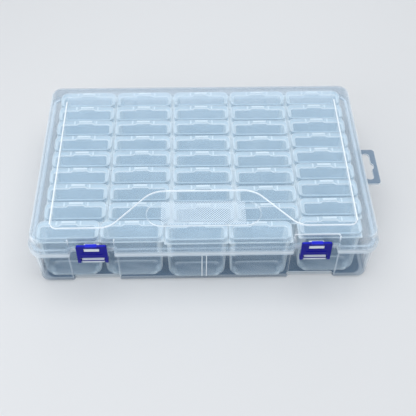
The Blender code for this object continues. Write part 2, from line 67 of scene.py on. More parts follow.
lens = bpy.data.cameras.new("camera")
lens.lens, lens.sensor_width = FOCAL_LENGTH, SENSOR_WIDTH
lens.clip_start = 0.01
camera = bpy.data.objects.new("camera", lens)
bpy.context.scene.collection.objects.link(camera)
camera.matrix_world = Matrix.Translation(EYE) @ Matrix((right, up, -forward)).transposed().to_4x4()
bpy.context.scene.camera = camera
print("camera", lens.lens, "mm, pitch", round(math.degrees(PITCH), 2))

# %% [markdown]
# ## Outlines
# Every moulding here is drawn from flat outlines with rounded corners. The corner points are few, and a
# vertex bevel rounds them, so the same corners can be used again at another size for the next level up.

# %% Rounded outlines
collection = bpy.context.scene.collection


def rounded(corners, radii, segments=6):
    """Points of a flat outline whose corners are rounded, each by its own radius, by a vertex bevel."""
    flat = bmesh.new()
    wanted = flat.verts.layers.float.new("radius")
    face = flat.faces.new([flat.verts.new((x, y, 0.0)) for x, y in corners])
    for vert, radius in zip(face.verts, radii):
        vert[wanted] = radius
    for radius in sorted(set(radii), reverse=True):
        picks = [v for v in flat.verts if abs(v[wanted] - radius) < 1e-9]
        bmesh.ops.bevel(flat, geom=picks, offset=radius, offset_type="OFFSET", segments=segments,
                        profile=0.5, affect="VERTICES", material=-1)
        for vert in flat.verts:
            if abs(vert[wanted] - radius) < 1e-9:
                vert[wanted] = -1.0
    flat.faces.ensure_lookup_table()
    points = [(v.co.x, v.co.y) for v in flat.faces[0].verts]
    flat.free()
    return points


def rectangle(half_w, half_d, radius, middle=(0.0, 0.0), segments=6):
    left, right = middle[0] - half_w, middle[0] + half_w
    front, back = middle[1] - half_d, middle[1] + half_d
    return rounded([(left, front), (right, front), (right, back), (left, back)], [radius] * 4, segments)


def moved_in(points, by):
    """The same outline with every point moved inwards along the bisector of its corner."""
    moved = []
    for i, (x, y) in enumerate(points):
        before, after = Vector(points[i - 1]), Vector(points[(i + 1) % len(points)])
        one, two = (Vector((x, y)) - before).normalized(), (after - Vector((x, y))).normalized()
        left = Vector((-one.y - two.y, one.x + two.x)).normalized()
        moved.append((x + left.x * by, y + left.y * by))
    return moved


print("a rounded rectangle has", len(rectangle(0.1, 0.1, 0.01)), "points")

# %% [markdown]
# ## Walls from levels
# A moulded wall is a stack of outlines, each a little higher and a little further in or out. The first
# outline's edges are extruded once per level and the new points are moved to the next outline. Each level
# also says how much of a rim it is: moulded plastic looks white where it is thick or sharply bent, and the
# same number paints highlights where an edge catches the light, so it is stored on the points for the
# material to read. It may be a function of x and y, because a painted highlight is often bright on one side
# of a piece only.

# %% Walls
def rim_layer(bm):
    return bm.verts.layers.float.get("rim") or bm.verts.layers.float.new("rim")


def rim_value(rim, x, y):
    return rim(x, y) if callable(rim) else rim


def loop_of(bm, points, height, rim=0.0):
    layer = rim_layer(bm)
    verts = [bm.verts.new((x, y, height)) for x, y in points]
    for vert in verts:
        vert[layer] = rim_value(rim, vert.co.x, vert.co.y)
    edges = [bm.edges.new((a, b)) for a, b in zip(verts, verts[1:] + verts[:1])]
    return verts, edges


def wall(bm, levels):
    """Extrudes the first outline through the others. A level is (points, height, rim)."""
    layer = rim_layer(bm)
    verts, edges = loop_of(bm, *levels[0])
    first = (verts, edges)
    for points, height, rim in levels[1:]:
        grown = bmesh.ops.extrude_edge_only(bm, edges=edges)["geom"]
        fresh = {g for g in grown if isinstance(g, bmesh.types.BMVert)}
        verts = [next(e.other_vert(v) for e in v.link_edges if e.other_vert(v) in fresh) for v in verts]
        for vert, (x, y) in zip(verts, points):
            vert.co = (x, y, height)
            vert[layer] = rim_value(rim, x, y)
        edges = [bm.edges.get((a, b)) for a, b in zip(verts, verts[1:] + verts[:1])]
    return first, (verts, edges)


print("walls are made of levels")

# %% [markdown]
# ## Fields
# Panels, pads and matt strips are flat fields on a flat face. A raised field is a very short wall with a
# crisp bright edge, a painted highlight. Its foot stays a loose loop until one triangle fill joins all the
# loops of a face. A Boolean could cut it in too, but would lose the rim numbers on the points.

# %% Fields
# The width over which a rim's brightness fades out on the flats beside it
FADE = 0.00012


def fill_between(bm, edges):
    bmesh.ops.triangle_fill(bm, use_beauty=True, use_dissolve=False, edges=edges, normal=(0.0, 0.0, 1.0))


def raised_field(bm, points, height, rise, edge, rim, around=0.0, holes=()):
    """A flat field that stands `rise` above `height`, with a crisp rim. Returns its foot's edges."""
    step = math.copysign(min(edge, abs(rise)), rise)
    (_, foot), (top, ring) = wall(bm, [
        (points, height, around), (moved_in(points, FADE), height + 0.1 * step, rim),
        (moved_in(points, 2 * FADE), height + rise - step, rim),
        (moved_in(points, 2 * FADE + 0.5 * edge), height + rise - 0.25 * step, rim),
        (moved_in(points, 2 * FADE + edge), height + rise, rim),
        (moved_in(points, 3 * FADE + edge), height + rise, 0.0)])
    if holes:
        fill_between(bm, ring + list(holes))
    else:
        bm.faces.new(top)
    return foot


def matt_field(bm, points, height, rim):
    """A flat field that is only milkier than what surrounds it. Returns its outline's edges."""
    (_, foot), (top, _) = wall(bm, [(points, height, 0.0), (moved_in(points, 2 * FADE), height, rim)])
    bm.faces.new(top)
    return foot


def flat_ring(bm, levels):
    """Four levels, two outlines at two heights each, as a closed ring."""
    (_, first), (_, last) = wall(bm, levels)
    bmesh.ops.bridge_loops(bm, edges=first + last)


print("fields: raised and matt")

# %% [markdown]
# ## From mesh to piece
# A finished piece keeps its object at the origin and its place in its mesh. Normals are made to agree
# before the wall gets its thickness, because a Solidify modifier follows them inwards.

# %% Pieces
def point_outwards(bm):
    """Makes the normals of each connected shell agree, and turns them away from the shell's own middle."""
    bmesh.ops.recalc_face_normals(bm, faces=bm.faces)
    waiting = set(bm.faces)
    while waiting:
        shell, queue = [], [waiting.pop()]
        while queue:
            face = queue.pop()
            shell.append(face)
            beside = {other for edge in face.edges for other in edge.link_faces} & waiting
            waiting -= beside
            queue.extend(beside)
        middle = sum((face.calc_center_median() for face in shell), Vector()) / len(shell)
        outward = sum((face.calc_center_median() - middle).dot(face.normal) * face.calc_area()
                      for face in shell)
        if outward < 0:
            bmesh.ops.reverse_faces(bm, faces=shell)


def make_piece(name, bm, material, body, stands_for=(), thickness=0.0, smooth=40):
    """A bmesh as a finished object that rides on a body, with a wall thickness where one is given."""
    bmesh.ops.remove_doubles(bm, verts=bm.verts, dist=1e-6)
    point_outwards(bm)
    mesh = bpy.data.meshes.new(name)
    bm.to_mesh(mesh)
    bm.free()
    mesh.shade_smooth()
    mesh.set_sharp_from_angle(angle=math.radians(smooth))
    mesh.materials.append(material)
    obj = bpy.data.objects.new(name, mesh)
    collection.objects.link(obj)
    if thickness:
        solid = obj.modifiers.new("wall", "SOLIDIFY")
        solid.thickness = thickness
        solid.use_quality_normals = True
        even = obj.modifiers.new("flat_faces_stay_flat", "WEIGHTED_NORMAL")
        even.keep_sharp = True
    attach(obj, body)
    if stands_for:
        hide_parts(*stands_for)
    return obj


print("pieces go to the collection", collection.name)

# %% [markdown]
# ## Small solids
# The fittings of a moulding are small closed solids: blocks, flat plates and open rings that clip over a
# pin. A block is a scaled cube, a plate is a face that is extruded, and a ring is a strip that is spun.

# %% Small solids
def noted(bm):
    """The points that are there before a solid is made."""
    rim_layer(bm)
    return set(bm.verts)


def with_rim(bm, before, rim):
    """Gives the rim value to every point that was made after `before` was noted."""
    layer = rim_layer(bm)
    for vert in bm.verts:
        if vert not in before:
            vert[layer] = rim


def block(bm, low, high, edge, rim):
    before = noted(bm)
    low, high = Vector(low), Vector(high)
    place = Matrix.Translation((low + high) / 2) @ Matrix.Diagonal((*(high - low), 1.0))
    cube = bmesh.ops.create_cube(bm, size=1.0, matrix=place)["verts"]
    edges = list({e for v in cube for e in v.link_edges})
    bmesh.ops.bevel(bm, geom=edges, offset=edge, segments=1, profile=0.5, affect="EDGES", material=-1)
    with_rim(bm, before, rim)


def plate(bm, outline, x_low, x_high, rim):
    """A flat plate across X, from an outline in y and z."""
    before = noted(bm)
    face = bm.faces.new([bm.verts.new((x_low, y, z)) for y, z in outline])
    lifted = bmesh.ops.extrude_face_region(bm, geom=[face], use_keep_orig=True)["geom"]
    bmesh.ops.translate(bm, verts=[g for g in lifted if isinstance(g, bmesh.types.BMVert)],
                        vec=(x_high - x_low, 0.0, 0.0))
    with_rim(bm, before, rim)


def ring_clip(bm, middle, half, inner, outer, start, sweep, rim):
    """An open ring along X: a flat strip is spun round the axis of the pin that it holds."""
    before = noted(bm)
    x, y, z = middle
    strip = [(x - half, inner), (x + half, inner), (x + half, outer), (x - half, outer)]
    verts = [bm.verts.new((px, y + r * math.cos(start), z + r * math.sin(start))) for px, r in strip]
    face = bm.faces.new(verts)
    bmesh.ops.spin(bm, geom=verts + list(face.edges) + [face], cent=middle, axis=(1.0, 0.0, 0.0), angle=sweep,
                   steps=18)
    with_rim(bm, before, rim)


def rod(bm, middle, half, radius, rim):
    before = noted(bm)
    place = Matrix.Translation(middle) @ Matrix.Rotation(math.pi / 2, 4, "Y")
    bmesh.ops.create_cone(bm, cap_ends=True, segments=20, radius1=radius, radius2=radius, depth=2 * half,
                          matrix=place)
    with_rim(bm, before, rim)


print("small solids: block, plate, ring, rod")

# %% [markdown]
# ## Moulded plastic
# Polypropylene is never quite even: it is a little cloudy where it flowed, and its skin has a fine grain.
# One node group makes both as a mask and a height, and each material uses it with its own values.

# %% Moulding grain group
def add_grain_group():
    group = bpy.data.node_groups.new("moulding_grain", "ShaderNodeTree")
    face = group.interface
    face.new_socket("Vector", in_out="INPUT", socket_type="NodeSocketVector")
    for label, value in (("Cloud Scale", 40.0), ("Grain Scale", 900.0), ("Flow", 0.6)):
        face.new_socket(label, in_out="INPUT", socket_type="NodeSocketFloat").default_value = value
    face.new_socket("Cloud", in_out="OUTPUT", socket_type="NodeSocketFloat")
    face.new_socket("Height", in_out="OUTPUT", socket_type="NodeSocketFloat")
    nodes, links = group.nodes, group.links
    inside = nodes.new("NodeGroupInput")
    outside = nodes.new("NodeGroupOutput")
    cloud, grain = nodes.new("ShaderNodeTexNoise"), nodes.new("ShaderNodeTexNoise")
    for noise, detail, scale in ((cloud, 3.0, "Cloud Scale"), (grain, 2.0, "Grain Scale")):
        noise.inputs["Detail"].default_value = detail
        links.new(inside.outputs["Vector"], noise.inputs["Vector"])
        links.new(inside.outputs[scale], noise.inputs["Scale"])
    mix = nodes.new("ShaderNodeMath")
    mix.operation = "MULTIPLY_ADD"
    for source, target in ((cloud.outputs["Fac"], 0), (inside.outputs["Flow"], 1), (grain.outputs["Fac"], 2)):
        links.new(source, mix.inputs[target])
    links.new(cloud.outputs["Fac"], outside.inputs["Cloud"])
    links.new(mix.outputs[0], outside.inputs["Height"])
    return group


grain_group = add_grain_group()
print("group outputs:", [s.name for s in grain_group.interface.items_tree if s.in_out == "OUTPUT"])

# %% [markdown]
# ## Helpers for materials
# The materials are wired from small helpers: a mix, a range, a number read from the points, and a start
# that gives every moulded material the same grain.

# %% Helpers for materials
BUMP_DISTANCE = 0.0002


def mixed(tree, kind, a, b, factor):
    """A Mix node of colours or numbers whose inputs are given as values or as the sockets to read."""
    mix = tree.nodes.new("ShaderNodeMix")
    mix.data_type = kind
    for label, given in (("A", a), ("B", b), ("Factor", factor)):
        socket = next(s for s in mix.inputs if s.name == label and s.enabled)
        if isinstance(given, bpy.types.NodeSocket):
            tree.links.new(given, socket)
        else:
            socket.default_value = (*given, 1.0) if kind == "RGBA" and label != "Factor" else given
    return next(s for s in mix.outputs if s.enabled)


def spread(tree, source, low, high):
    """A Map Range node from 0..1 to low..high."""
    node = tree.nodes.new("ShaderNodeMapRange")
    node.inputs["To Min"].default_value = low
    node.inputs["To Max"].default_value = high
    tree.links.new(source, node.inputs["Value"])
    return node.outputs["Result"]


def stored(tree, name):
    """The number of that name which is stored on the points."""
    node = tree.nodes.new("ShaderNodeAttribute")
    node.attribute_name = name
    return node.outputs["Fac"]


def moulded_material(name, cloud_scale, bump):
    """A new material that ripples with the moulding grain: itself, its shader, its place and its cloud."""
    material = bpy.data.materials.new(name)
    material.use_nodes = True
    nodes, links = material.node_tree.nodes, material.node_tree.links
    shader = nodes["Principled BSDF"]
    place = nodes.new("ShaderNodeTexCoord")
    grain = nodes.new("ShaderNodeGroup")
    grain.node_tree = grain_group
    grain.inputs["Cloud Scale"].default_value = cloud_scale
    links.new(place.outputs["Object"], grain.inputs["Vector"])
    waves = nodes.new("ShaderNodeBump")
    waves.inputs["Strength"].default_value = bump
    waves.inputs["Distance"].default_value = BUMP_DISTANCE
    links.new(grain.outputs["Height"], waves.inputs["Height"])
    links.new(waves.outputs["Normal"], shader.inputs["Normal"])
    return material, shader, place.outputs["Object"], grain.outputs["Cloud"]


print("helpers for materials: 4")

# %% [markdown]
# ## Clear plastic
# The clear materials share one recipe: a cool milky colour and an alpha that lets most of the light through.
# The rim number makes it whiter and denser where the moulding is thick or bent and where a highlight is
# painted, and a Layer Weight does where a wall is seen edge-on. The deep number paints shade: it makes it
# darker and bluer at the tub's foot, inside the cups, on the lid's skirt and on the hang tab, and the clear
# number thins it where one looks straight through. Thin layers behind each other build up the milky look, as
# in the real stack. The plastic scatters light onwards, so it is thinner for shadow rays and stays bright.

# %% Clear plastic
ALPHA_SPREAD, ROUGHNESS_SPREAD, SHADOW_SHARE = 0.25, 0.05, 0.3
EDGE_ON_POWER, EDGE_ON_WHITE = 2.5, 0.7
# Alpha and colour of the painted shade that the deep number mixes in
SHADE_ALPHA, SHADE_BLUE = 0.80, (0.08, 0.15, 0.24)


def clear_plastic(name, deep, pale, rim_colour, alpha, edge_alpha, rim_alpha, roughness, cloud_scale, bump):
    material, shader, _, cloud = moulded_material(name, cloud_scale, bump)
    tree = material.node_tree
    nodes, links = tree.nodes, tree.links
    rim, floor, thin = (stored(tree, label) for label in ("rim", "deep", "clear"))
    facing = nodes.new("ShaderNodeLayerWeight")
    grazing = nodes.new("ShaderNodeMath")
    grazing.operation = "POWER"
    grazing.inputs[1].default_value = EDGE_ON_POWER
    links.new(facing.outputs["Facing"], grazing.inputs[0])
    colour = mixed(tree, "RGBA", deep, pale, cloud)
    # The deep number, read here as floor, mixes in painted shade; the rim number mixes in the white of thick
    # plastic and painted highlights
    colour = mixed(tree, "RGBA", colour, SHADE_BLUE, floor)
    colour = mixed(tree, "RGBA", colour, rim_colour, spread(tree, grazing.outputs[0], 0.0, EDGE_ON_WHITE))
    colour = mixed(tree, "RGBA", colour, rim_colour, rim)
    links.new(colour, shader.inputs["Base Color"])
    density = spread(tree, cloud, alpha * (1 - ALPHA_SPREAD), alpha * (1 + ALPHA_SPREAD))
    density = mixed(tree, "FLOAT", density, edge_alpha, grazing.outputs[0])
    density = mixed(tree, "FLOAT", density, 0.0, thin)
    density = mixed(tree, "FLOAT", density, SHADE_ALPHA, floor)
    density = mixed(tree, "FLOAT", density, rim_alpha, rim)
    path = nodes.new("ShaderNodeLightPath")
    thinned = nodes.new("ShaderNodeMath")
    thinned.operation = "MULTIPLY"
    links.new(density, thinned.inputs[0])
    links.new(spread(tree, path.outputs["Is Shadow Ray"], 1.0, SHADOW_SHARE), thinned.inputs[1])
    links.new(thinned.outputs[0], shader.inputs["Alpha"])
    uneven = spread(tree, cloud, roughness - ROUGHNESS_SPREAD, roughness + ROUGHNESS_SPREAD)
    links.new(uneven, shader.inputs["Roughness"])
    return material


# Rim colours, for the white of thick plastic and for painted highlights alike
WHITE_RIM, SOFT_RIM = (0.90, 0.95, 0.99), (0.80, 0.88, 0.93)
shell_plastic = clear_plastic(
    "clear_shell", deep=(0.46, 0.62, 0.76), pale=(0.56, 0.70, 0.82), rim_colour=WHITE_RIM, alpha=0.08,
    edge_alpha=0.55, rim_alpha=0.80, roughness=0.18, cloud_scale=35.0, bump=0.12)
cup_plastic = clear_plastic(
    "frosted_container", deep=(0.49, 0.70, 0.87), pale=(0.60, 0.78, 0.91), rim_colour=SOFT_RIM, alpha=0.20,
    edge_alpha=0.60, rim_alpha=0.70, roughness=0.32, cloud_scale=60.0, bump=0.15)
print("clear materials:", shell_plastic.name, cup_plastic.name)


def shell_piece(name, bm, body, stands_for=(), thickness=0.0, smooth=40):
    return make_piece(name, bm, shell_plastic, body, stands_for, thickness, smooth)



# %% [markdown]
# ## Latch material
# The latches are dyed through in deep blue. The colour shifts a little with the flow of the plastic, and the
# thin thumb tab at the top lets light through, and that light is painted into it as a lighter and livelier
# blue.

# %% Blue latch material
THUMB_FROM, THUMB_TO = 0.0665, 0.0671
DARK_DYE, PALE_DYE, THUMB_DYE_AND_LIGHT = (0.001, 0.001, 0.20), (0.003, 0.003, 0.31), (0.014, 0.022, 0.61)
DYE_SPECULAR = 0.18
blue_plastic, shader, place, cloud = moulded_material("blue_latch", cloud_scale=120.0, bump=0.15)
tree = blue_plastic.node_tree
position = tree.nodes.new("ShaderNodeSeparateXYZ")
tree.links.new(place, position.inputs[0])
# Painted light: the thin thumb tab at the top turns a lighter blue, for the light that comes through it
thumb = tree.nodes.new("ShaderNodeMapRange")
thumb.inputs["From Min"].default_value = THUMB_FROM
thumb.inputs["From Max"].default_value = THUMB_TO
tree.links.new(position.outputs["Z"], thumb.inputs["Value"])
dye_and_thumb_light = mixed(tree, "RGBA", DARK_DYE, PALE_DYE, cloud)
dye_and_thumb_light = mixed(tree, "RGBA", dye_and_thumb_light, THUMB_DYE_AND_LIGHT, thumb.outputs["Result"])
tree.links.new(dye_and_thumb_light, shader.inputs["Base Color"])
tree.links.new(spread(tree, cloud, 0.26, 0.36), shader.inputs["Roughness"])
shader.inputs["Specular IOR Level"].default_value = DYE_SPECULAR
print("latch material:", blue_plastic.name)

# %% [markdown]
# ## Lid
# The lid is a shallow tray upside down. Its skirt ends in a proud band that hugs the tub's rim, its front
# wall steps back at both latches, and a raised panel leaves a bay at the front for the label pad. One
# function draws its outline at any distance, so all the levels of its walls follow the same turns. The rim is
# a function too: it paints highlights as bright lines that are strong at the sides and the back, weaker in
# front, and paints glints in the turns.

# %% Lid outlines
PANEL_RISE = 0.0012
lid_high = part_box("lid")[1]
TOP = lid_high.z - PANEL_RISE
latch_low, latch_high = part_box("latch_right")
LATCH_X = (latch_low.x + latch_high.x) / 2
SKIRT, SKIRT_CORNER = (0.1750, 0.1160), 0.0120
POCKET_HALF, POCKET_BACK, POCKET_LIP = 0.0223, -0.1116, 0.0016
# In front of FRONT_Y an edge faces the front, and beyond CORNER_X it turns round the corner
FRONT_Y, CORNER_X = -0.1050, 0.1650
GLINT, GLINT_CORNER = 0.9, (0.1690, -0.1080)


def pocketed(half_w, half_d, radius, back, pocket_half, lip, slope=0.0):
    """An outline whose front steps back behind both latches, with softened pocket corners."""
    corners, radii = [(-half_w, -half_d)], [radius]
    for place in (-LATCH_X, LATCH_X):
        corners += [(place - pocket_half - slope, -half_d), (place - pocket_half, back),
                    (place + pocket_half, back), (place + pocket_half + slope, -half_d)]
        radii += [lip] * 4
    corners += [(half_w, -half_d), (half_w, half_d), (-half_w, half_d)]
    radii += [radius] * 3
    return rounded(corners, radii)


def lid_outline(out, back_in=0.0):
    """The lid's outline, moved out from its top outline; the pocket's back only moves by `back_in`."""
    return pocketed(SKIRT[0] + out, SKIRT[1] + out, SKIRT_CORNER + out, POCKET_BACK + back_in,
                    POCKET_HALF + back_in, POCKET_LIP)


def lid_edge(strong, front):
    """A painted highlight that is strong at the back and the sides of the lid, weaker at the corners and weak
    in front.
    """
    def value(x, y):
        if y > FRONT_Y:
            return strong
        return front if abs(x) < CORNER_X else (strong + front) / 2
    return value


def glinting(points, rim, along_back):
    """The same rim with a painted glint in the front corners, the pockets' turns and the right pocket's back.
    """
    front = min(y for _, y in points)

    def value(x, y):
        in_pocket = abs(abs(x) - LATCH_X) < POCKET_HALF + POCKET_LIP
        at_corner = abs(x) > GLINT_CORNER[0] and front + 0.0005 < y < GLINT_CORNER[1]
        at_mouth = in_pocket and front + 0.0001 < y < front + 0.0012
        at_back = in_pocket and x > 0 and front + 0.0020 < y < FRONT_Y
        return GLINT if at_corner or at_mouth or (at_back and along_back) else rim_value(rim, x, y)
    return value


print("latches at x =", round(LATCH_X, 4), "lid top at z =", round(TOP, 4))

# %% [markdown]
# The levels run from the band's lower edge up to the flat top. The band's two edges get painted highlights,
# two bright lines round the box. Written as a table, the levels are easy to compare with a photo, line by
# line.

# %% Lid walls
# How far out, height, painted highlight at the sides and the back, painted highlight in front
BAND = [(0.0027, 0.0505, 0.85, 0.35), (0.0034, 0.0508, 0.9, 0.4), (0.0035, 0.0526, 0.85, 0.5),
        (0.0035, 0.0532, 0.4, 0.7), (0.0035, 0.0556, 0.4, 0.7), (0.0035, 0.0562, 0.9, 0.25),
        (0.0035, 0.0574, 1.0, 0.3), (0.0034, 0.0579, 0.8, 0.3), (0.0030, 0.0583, 0.3, 0.1),
        (0.0026, 0.0585, 0.05, 0.05), (0.0023, 0.0592, 0.0, 0.0), (0.0014, 0.0650, 0.0, 0.0)]
# How far out, how far the pocket's back moves, depth below the top, both painted highlights, painted glint
# along the pocket's back
TURN = [(0.0003, 0.0, 0.0024, 0.0, 0.0, False), (-0.0001, 0.0001, 0.0014, 0.6, 0.05, True),
        (-0.0006, 0.0004, 0.0006, 0.9, 0.12, True)]
levels = [(lid_outline(out), height, lid_edge(strong, front)) for out, height, strong, front in BAND]
for out, back_in, below, strong, front, along_back in TURN:
    points = lid_outline(out, back_in)
    levels.append((points, TOP - below, glinting(points, lid_edge(strong, front), along_back)))
levels += [(lid_outline(-0.0014, 0.0010), TOP - 0.0001, lid_edge(0.5, 0.05)),
           (lid_outline(-0.0024, 0.0018), TOP, 0.0)]
bm = bmesh.new()
_, (_, top_edges) = wall(bm, levels)
print("lid walls:", len(bm.verts), "points")

# %% [markdown]
# The panel's outline follows the lid at the sides and swings back in the middle to leave the label bay. Its
# step gets a painted highlight, a crisp white line at the front and the sides that fades at the back, where
# the panel runs out under a matt strip beside the hinges.

# %% Lid top
PANEL_BACK = 0.0905
PANEL = [(-0.1555, PANEL_BACK), (-0.1555, -0.1010), (-0.0955, -0.1010), (-0.0530, -0.0525),
         (0.0530, -0.0525), (0.0965, -0.1010), (0.1555, -0.1010), (0.1555, PANEL_BACK)]
PANEL_RADII = [0.0010, 0.0070, 0.0090, 0.0110, 0.0110, 0.0090, 0.0070, 0.0010]
PANEL_EDGE, PANEL_FADE = 0.0006, 0.0030
PAD_MIDDLE, PAD_HALF, PAD_CORNER = -0.0825, (0.0595, 0.0170), 0.0166
PAD_RISE, PAD_EDGE = 0.0008, 0.0003
GRIP_X, GRIP_HALF, GRIP_CORNER, GRIP_RIM = -0.0005, (0.0440, 0.0156), 0.0010, 0.15
STRIP_Y, STRIP_HALF, STRIP_CORNER, STRIP_RIM = 0.1003, (0.1560, 0.0078), 0.0030, 0.22


# Painted highlight on the panel's step, faded out towards the back
def panel_rim(x, y):
    return 0.0 if y > PANEL_BACK - PANEL_FADE else 1.0


def pad_rim(x, y):
    """The pad's edge gets a painted highlight along the front and painted glints at the upper end of both
    round ends.
    """
    if y > PAD_MIDDLE + 0.0040 and abs(x) > 0.0500:
        return 1.0
    return 0.85 if y < PAD_MIDDLE - 0.0100 else 0.35


panel_foot = raised_field(bm, rounded(PANEL, PANEL_RADII), TOP, PANEL_RISE, PANEL_EDGE, panel_rim)
grip_points = rectangle(*GRIP_HALF, GRIP_CORNER, (GRIP_X, PAD_MIDDLE))
grip_edges = matt_field(bm, grip_points, TOP + PAD_RISE, GRIP_RIM)
pad_points = rectangle(*PAD_HALF, PAD_CORNER, (0.0, PAD_MIDDLE))
pad_foot = raised_field(bm, pad_points, TOP, PAD_RISE, PAD_EDGE, pad_rim, holes=grip_edges)
strip_edges = matt_field(bm, rectangle(*STRIP_HALF, STRIP_CORNER, (0.0, STRIP_Y)), TOP, STRIP_RIM)
fill_between(bm, top_edges + panel_foot + pad_foot + strip_edges)

# %% [markdown]
# One sees the skirt from its inside at the back and the sides. It is painted darker and bluer there, a
# painted shade, with some of the deep number.

# %% Painted shade on the skirt
LID_WALL = 0.0014
SKIRT_FROM, SKIRT_TO = 0.0582, TOP - 0.0004
BACK_FROM, BACK_SHADE = 0.1120, 0.35
SIDE_FROM, SIDE_SHADE = 0.1735, 0.15
deep = bm.verts.layers.float.new("deep")
# Painted shade at the back and the sides of the skirt
for vert in bm.verts:
    if SKIRT_FROM < vert.co.z < SKIRT_TO:
        side_shade = SIDE_SHADE if abs(vert.co.x) > SIDE_FROM else 0.0
        vert[deep] = BACK_SHADE if vert.co.y > BACK_FROM else side_shade
print("lid:", len(bm.verts), "points", len(bm.faces), "faces")
shell_piece("lid_moulding", bm, "lid", ["lid"], LID_WALL)

# %% [markdown]
# The middle of the label pad is a grip of small blunt bumps in staggered rows. A bump is a cone with six
# sides and a cut top, which is enough to catch the light at this size.

# %% Grip bumps
GRIP_STEP, GRIP_MARGIN = 0.00265, 0.0008
BUMP_FOOT, BUMP_TOP, BUMP_TALL, BUMP_MIDDLE, BUMP_RIM = 0.00075, 0.00035, 0.00030, 0.00013, 0.6
bm = bmesh.new()
rim_layer(bm)
columns = int(2 * (GRIP_HALF[0] - GRIP_MARGIN) / GRIP_STEP)
rows = int(4 * (GRIP_HALF[1] - GRIP_MARGIN) / GRIP_STEP)
for row in range(rows + 1):
    for column in range(columns + row % 2):
        x = (column - (columns - 1 + row % 2) / 2) * GRIP_STEP + GRIP_X
        y = PAD_MIDDLE + (row - rows / 2) * GRIP_STEP / 2
        place = Matrix.Translation((x, y, TOP + PAD_RISE + BUMP_MIDDLE))
        bmesh.ops.create_cone(bm, cap_ends=True, segments=6, radius1=BUMP_FOOT, radius2=BUMP_TOP,
                              depth=BUMP_TALL, matrix=place)
with_rim(bm, set(), BUMP_RIM)
print("grip:", (rows + 1) * columns + (rows + 1) // 2, "bumps")
shell_piece("label_pad_grip", bm, "lid", smooth=10)

# %% [markdown]
# ## Seat and side beads of the lid
# The lid rests on the tub's rim with a flat seat that runs right round. Seen from above it is a wide white
# band inside the clear edge, a painted highlight at the sides and the back. Two beads stiffen the sides of
# the panel and are painted white as its brightest highlight lines.

# %% Seat ring and side beads
SEAT_LOW, SEAT_HIGH = 0.0573, 0.0580
SEAT_OUT, SEAT_IN, SEAT_BACK_IN, SEAT_CORNER_X = 0.0006, -0.0034, 0.0026, 0.1640
BEAD_X, BEAD_WIDTH, BEAD_FRONT, BEAD_BACK = 0.1549, 0.0014, -0.0950, PANEL_BACK - 0.0010


def seat_rim(x, y):
    """The seat gets a painted highlight along the sides and the back, where one looks down on it."""
    return 0.0 if y < FRONT_Y and abs(x) < SEAT_CORNER_X else 0.3


outer, inner = lid_outline(SEAT_OUT), lid_outline(SEAT_IN, SEAT_BACK_IN)
bm = bmesh.new()
flat_ring(bm, [(outer, SEAT_LOW, seat_rim), (outer, SEAT_HIGH, seat_rim), (inner, SEAT_HIGH, seat_rim),
               (inner, SEAT_LOW, seat_rim)])
# The beads are painted fully white, a painted highlight
for side in (-1, 1):
    near, far = sorted((side * BEAD_X, side * (BEAD_X + BEAD_WIDTH)))
    block(bm, (near, BEAD_FRONT, TOP - 0.0002), (far, BEAD_BACK, lid_high.z), 0.0003, 1.0)
lid_seat = shell_piece("lid_seat_and_side_beads", bm, "lid", smooth=35)
print("seat and beads:", len(lid_seat.data.polygons), "faces")

# %% [markdown]
# ## Lid fittings
# Behind each latch the lid has a wedge that the latch snaps over, and at the back two open rings that turn
# on the tub's hinge pins. They belong to the same moulding as the lid, and are thick enough to look white.

# %% Lid fittings
CATCH_HALF, CATCH_RAMP = 0.0076, 0.0012
CATCH_LOW, CATCH_HIGH = 0.0584, 0.0628
CATCH_FRONT, CATCH_BACK = -0.1179, POCKET_BACK + 0.0003
HINGE_X, HINGE_Y, HINGE_Z = 0.08998, 0.1226, 0.0500
RING_HALF, RING_INNER, RING_OUTER = 0.0090, 0.0018, 0.0031
ARM_Y, ARM_LOW, ARM_HIGH = 0.1189, HINGE_Z + 0.0024, HINGE_Z + 0.0044
wedge = [(CATCH_BACK, CATCH_LOW), (CATCH_FRONT, CATCH_LOW), (CATCH_FRONT, CATCH_HIGH - CATCH_RAMP),
         (CATCH_FRONT + CATCH_RAMP, CATCH_HIGH), (CATCH_BACK, CATCH_HIGH)]
arm = [(ARM_Y, ARM_LOW), (HINGE_Y, ARM_LOW), (HINGE_Y, ARM_HIGH), (ARM_Y, ARM_HIGH)]
bm = bmesh.new()
for side in (-1, 1):
    middle = side * LATCH_X
    plate(bm, wedge, middle - CATCH_HALF, middle + CATCH_HALF, 0.9)
    hinge = Vector((side * HINGE_X, HINGE_Y, HINGE_Z))
    ring_clip(bm, hinge, RING_HALF, RING_INNER, RING_OUTER, -math.pi / 3, 1.5 * math.pi, rim=0.7)
    plate(bm, arm, hinge.x - RING_HALF, hinge.x + RING_HALF, 0.6)
lid_fittings = shell_piece("lid_catches_and_hinge_rings", bm, "lid", smooth=35)
print("lid fittings:", len(lid_fittings.data.polygons), "faces")

# %% [markdown]
# ## Tub
# The tub is the deep tray. Its walls lean out by two degrees so that it leaves its mould, and its latch
# pockets step back like the lid's, so one outline function serves both. Painted highlights run down its front
# corners and round its foot as fine white lines, which are again functions of x and y.

# %% Tub outlines
TUB_TOP = 0.0570
HALF_W, HALF_D, TUB_CORNER = 0.1752, 0.1154, 0.0100
TUB_POCKET, TUB_POCKET_HALF, TUB_POCKET_SLOPE, TUB_LIP = 0.0030, 0.0230, 0.0020, 0.0010
DRAFT = math.tan(math.radians(2.0))
UPRIGHT_X, UPRIGHT_DEPTH, POCKET_LINE = 0.1690, 0.0085, 0.45


def tub_outline(height, inset=0.0):
    lean = (TUB_TOP - height) * DRAFT + inset
    return pocketed(HALF_W - lean, HALF_D - lean, TUB_CORNER, -(HALF_D - lean) + TUB_POCKET, TUB_POCKET_HALF,
                    TUB_LIP, TUB_POCKET_SLOPE)


